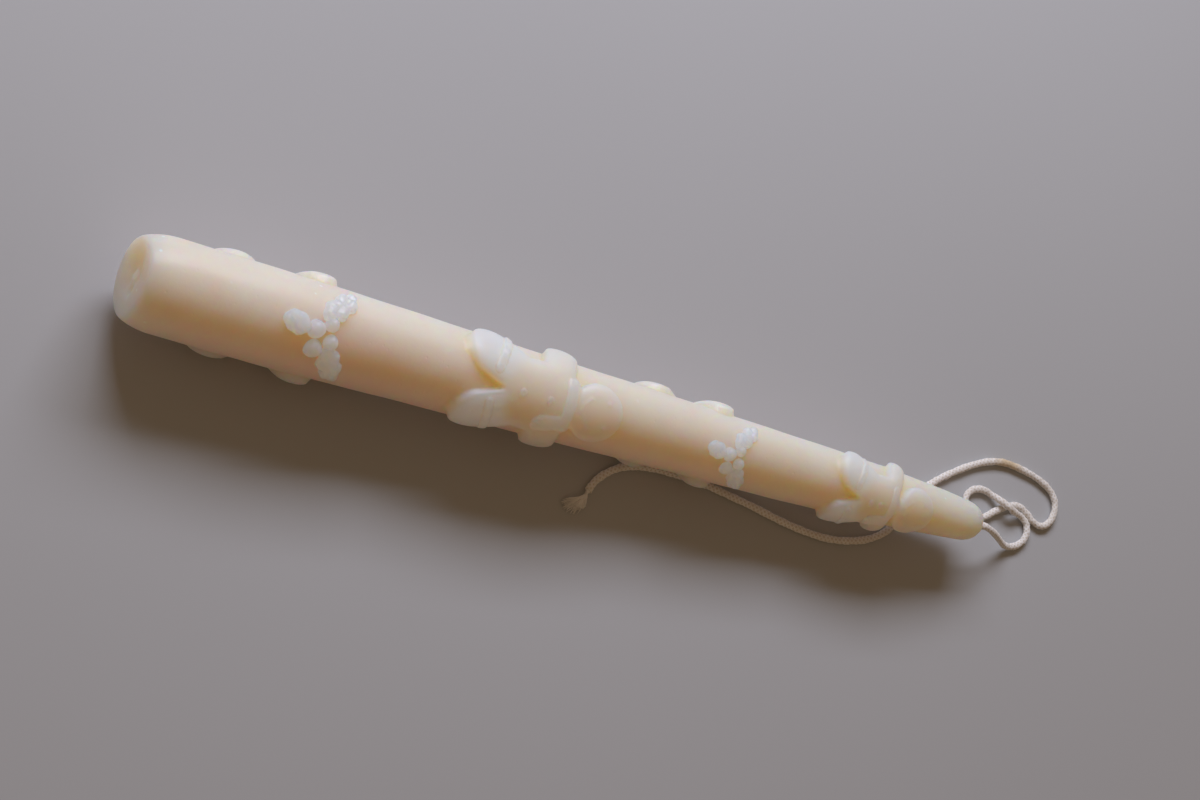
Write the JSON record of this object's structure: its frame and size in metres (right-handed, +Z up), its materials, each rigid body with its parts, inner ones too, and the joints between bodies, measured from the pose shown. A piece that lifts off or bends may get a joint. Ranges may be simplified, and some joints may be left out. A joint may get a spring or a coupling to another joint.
{
  "type": "taper candle",
  "caption": "Cream wax taper candle with raised gingerbread figures and holly sprigs, lying with its long cotton wick looped beside the tip.",
  "frame": {"origin": "centre of the candle's footprint, loose wick left out, on the surface that it lies on", "axes": "+X along the candle from its base end to its tip, +Z up, +Y away from the viewer of the picture"},
  "size_m": [0.2822, 0.0455, 0.0274],
  "materials": {
    "wax_cream": null,
    "wax_milky": null,
    "cotton": "braided unwaxed cotton"
  },
  "bodies": {
    "root": {"taper_body": "wax_cream", "wick_core": "cotton", "gingerbread_1": "wax_cream", "scarf_1": "wax_milky", "cuff_1_a": "wax_milky", "cuff_1_b": "wax_milky", "button_1_1": "wax_milky", "button_1_2": "wax_milky", "gingerbread_2": "wax_cream", "scarf_2": "wax_milky", "cuff_2_a": "wax_milky", "cuff_2_b": "wax_milky", "button_2_1": "wax_milky", "button_2_2": "wax_milky", "gingerbread_3": "wax_cream", "scarf_3": "wax_milky", "cuff_3_a": "wax_milky", "cuff_3_b": "wax_milky", "button_3_1": "wax_milky", "button_3_2": "wax_milky", "gingerbread_4": "wax_cream", "scarf_4": "wax_milky", "cuff_4_a": "wax_milky", "cuff_4_b": "wax_milky", "button_4_1": "wax_milky", "button_4_2": "wax_milky", "sprig_1_leaf_low": "wax_milky", "sprig_1_leaf_side": "wax_milky", "sprig_1_leaf_far": "wax_milky", "sprig_1_berry_1": "wax_milky", "sprig_1_berry_2": "wax_milky", "sprig_1_berry_3": "wax_milky", "sprig_1_berry_4": "wax_milky", "sprig_2_leaf_low": "wax_milky", "sprig_2_leaf_side": "wax_milky", "sprig_2_leaf_far": "wax_milky", "sprig_2_berry_1": "wax_milky", "sprig_2_berry_2": "wax_milky", "sprig_2_berry_3": "wax_milky", "sprig_2_berry_4": "wax_milky", "sprig_3_leaf_low": "wax_milky", "sprig_3_leaf_side": "wax_milky", "sprig_3_leaf_far": "wax_milky", "sprig_3_berry_1": "wax_milky", "sprig_3_berry_2": "wax_milky", "sprig_3_berry_3": "wax_milky", "sprig_3_berry_4": "wax_milky", "sprig_4_leaf_low": "wax_milky", "sprig_4_leaf_side": "wax_milky", "sprig_4_leaf_far": "wax_milky", "sprig_4_berry_1": "wax_milky", "sprig_4_berry_2": "wax_milky", "sprig_4_berry_3": "wax_milky", "sprig_4_berry_4": "wax_milky", "wick_free": "cotton", "wick_frayed_end": "cotton"}
  },
  "joints": []
}
